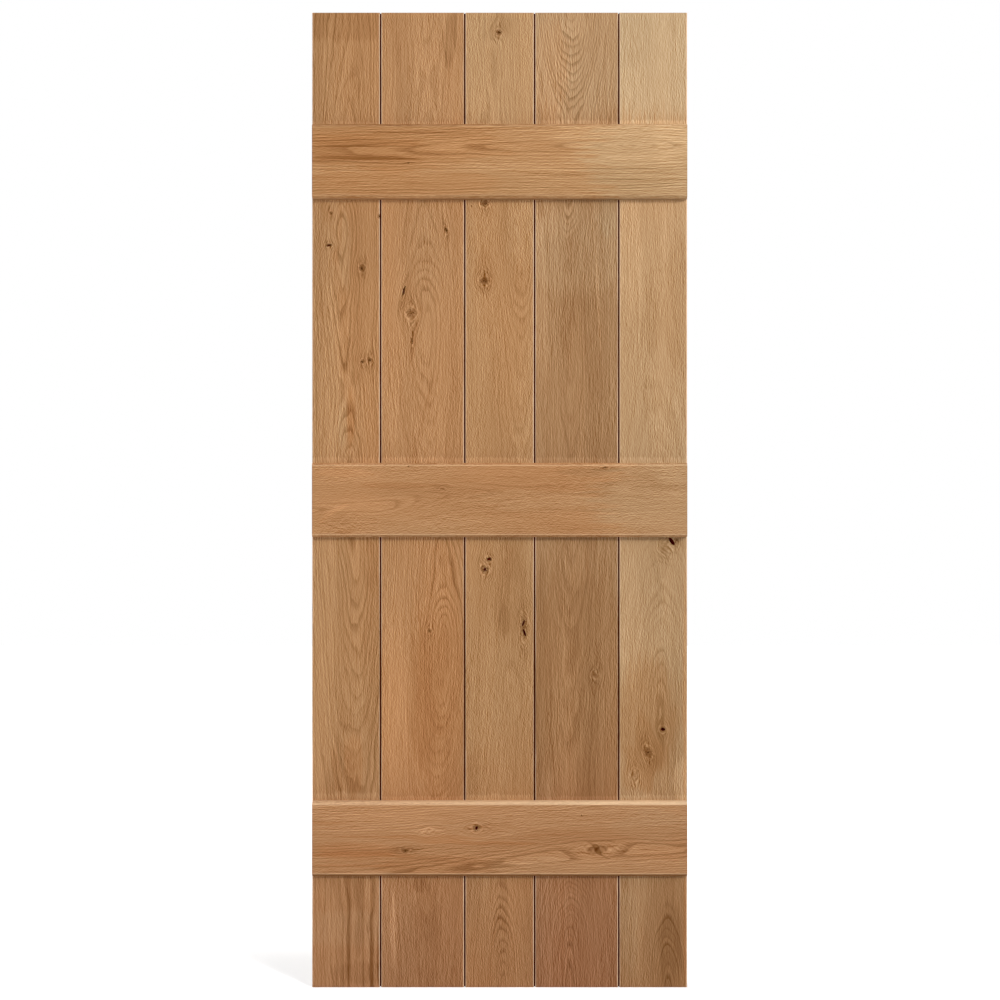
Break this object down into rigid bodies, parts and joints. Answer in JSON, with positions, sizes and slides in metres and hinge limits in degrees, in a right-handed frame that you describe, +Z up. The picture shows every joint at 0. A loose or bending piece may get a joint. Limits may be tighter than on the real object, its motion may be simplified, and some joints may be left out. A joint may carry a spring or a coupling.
{
  "type": "ledged door",
  "caption": "Solid oak ledged door leaf: tongued and grooved vertical boards held by chamfered horizontal ledges, bare of frame, hinges and latch.",
  "frame": {"origin": "foot of the leaf, midway across it and midway through its whole thickness", "axes": "+Z up the leaf, +X across it to the right as the ledge side is seen, +Y out of the plain face side, so the ledges face -Y"},
  "size_m": [0.762, 0.04, 1.981],
  "materials": {
    "oak_boards": "planed knotty oak, clear matt oil",
    "oak_ledges": "planed knotty oak, clear matt oil, chamfered edges",
    "oak_pegs": "oak pegs driven and glued, end grain planed flush"
  },
  "bodies": {
    "root": {"board_1": "oak_boards", "board_2": "oak_boards", "board_3": "oak_boards", "board_4": "oak_boards", "board_5": "oak_boards", "top_ledge": "oak_ledges", "middle_ledge": "oak_ledges", "bottom_ledge": "oak_ledges", "top_ledge_peg_1": "oak_pegs", "top_ledge_peg_2": "oak_pegs", "top_ledge_peg_3": "oak_pegs", "top_ledge_peg_4": "oak_pegs", "top_ledge_peg_5": "oak_pegs", "top_ledge_peg_6": "oak_pegs", "top_ledge_peg_7": "oak_pegs", "top_ledge_peg_8": "oak_pegs", "top_ledge_peg_9": "oak_pegs", "top_ledge_peg_10": "oak_pegs", "middle_ledge_peg_1": "oak_pegs", "middle_ledge_peg_2": "oak_pegs", "middle_ledge_peg_3": "oak_pegs", "middle_ledge_peg_4": "oak_pegs", "middle_ledge_peg_5": "oak_pegs", "middle_ledge_peg_6": "oak_pegs", "middle_ledge_peg_7": "oak_pegs", "middle_ledge_peg_8": "oak_pegs", "middle_ledge_peg_9": "oak_pegs", "middle_ledge_peg_10": "oak_pegs", "bottom_ledge_peg_1": "oak_pegs", "bottom_ledge_peg_2": "oak_pegs", "bottom_ledge_peg_3": "oak_pegs", "bottom_ledge_peg_4": "oak_pegs", "bottom_ledge_peg_5": "oak_pegs", "bottom_ledge_peg_6": "oak_pegs", "bottom_ledge_peg_7": "oak_pegs", "bottom_ledge_peg_8": "oak_pegs", "bottom_ledge_peg_9": "oak_pegs", "bottom_ledge_peg_10": "oak_pegs"}
  },
  "joints": []
}
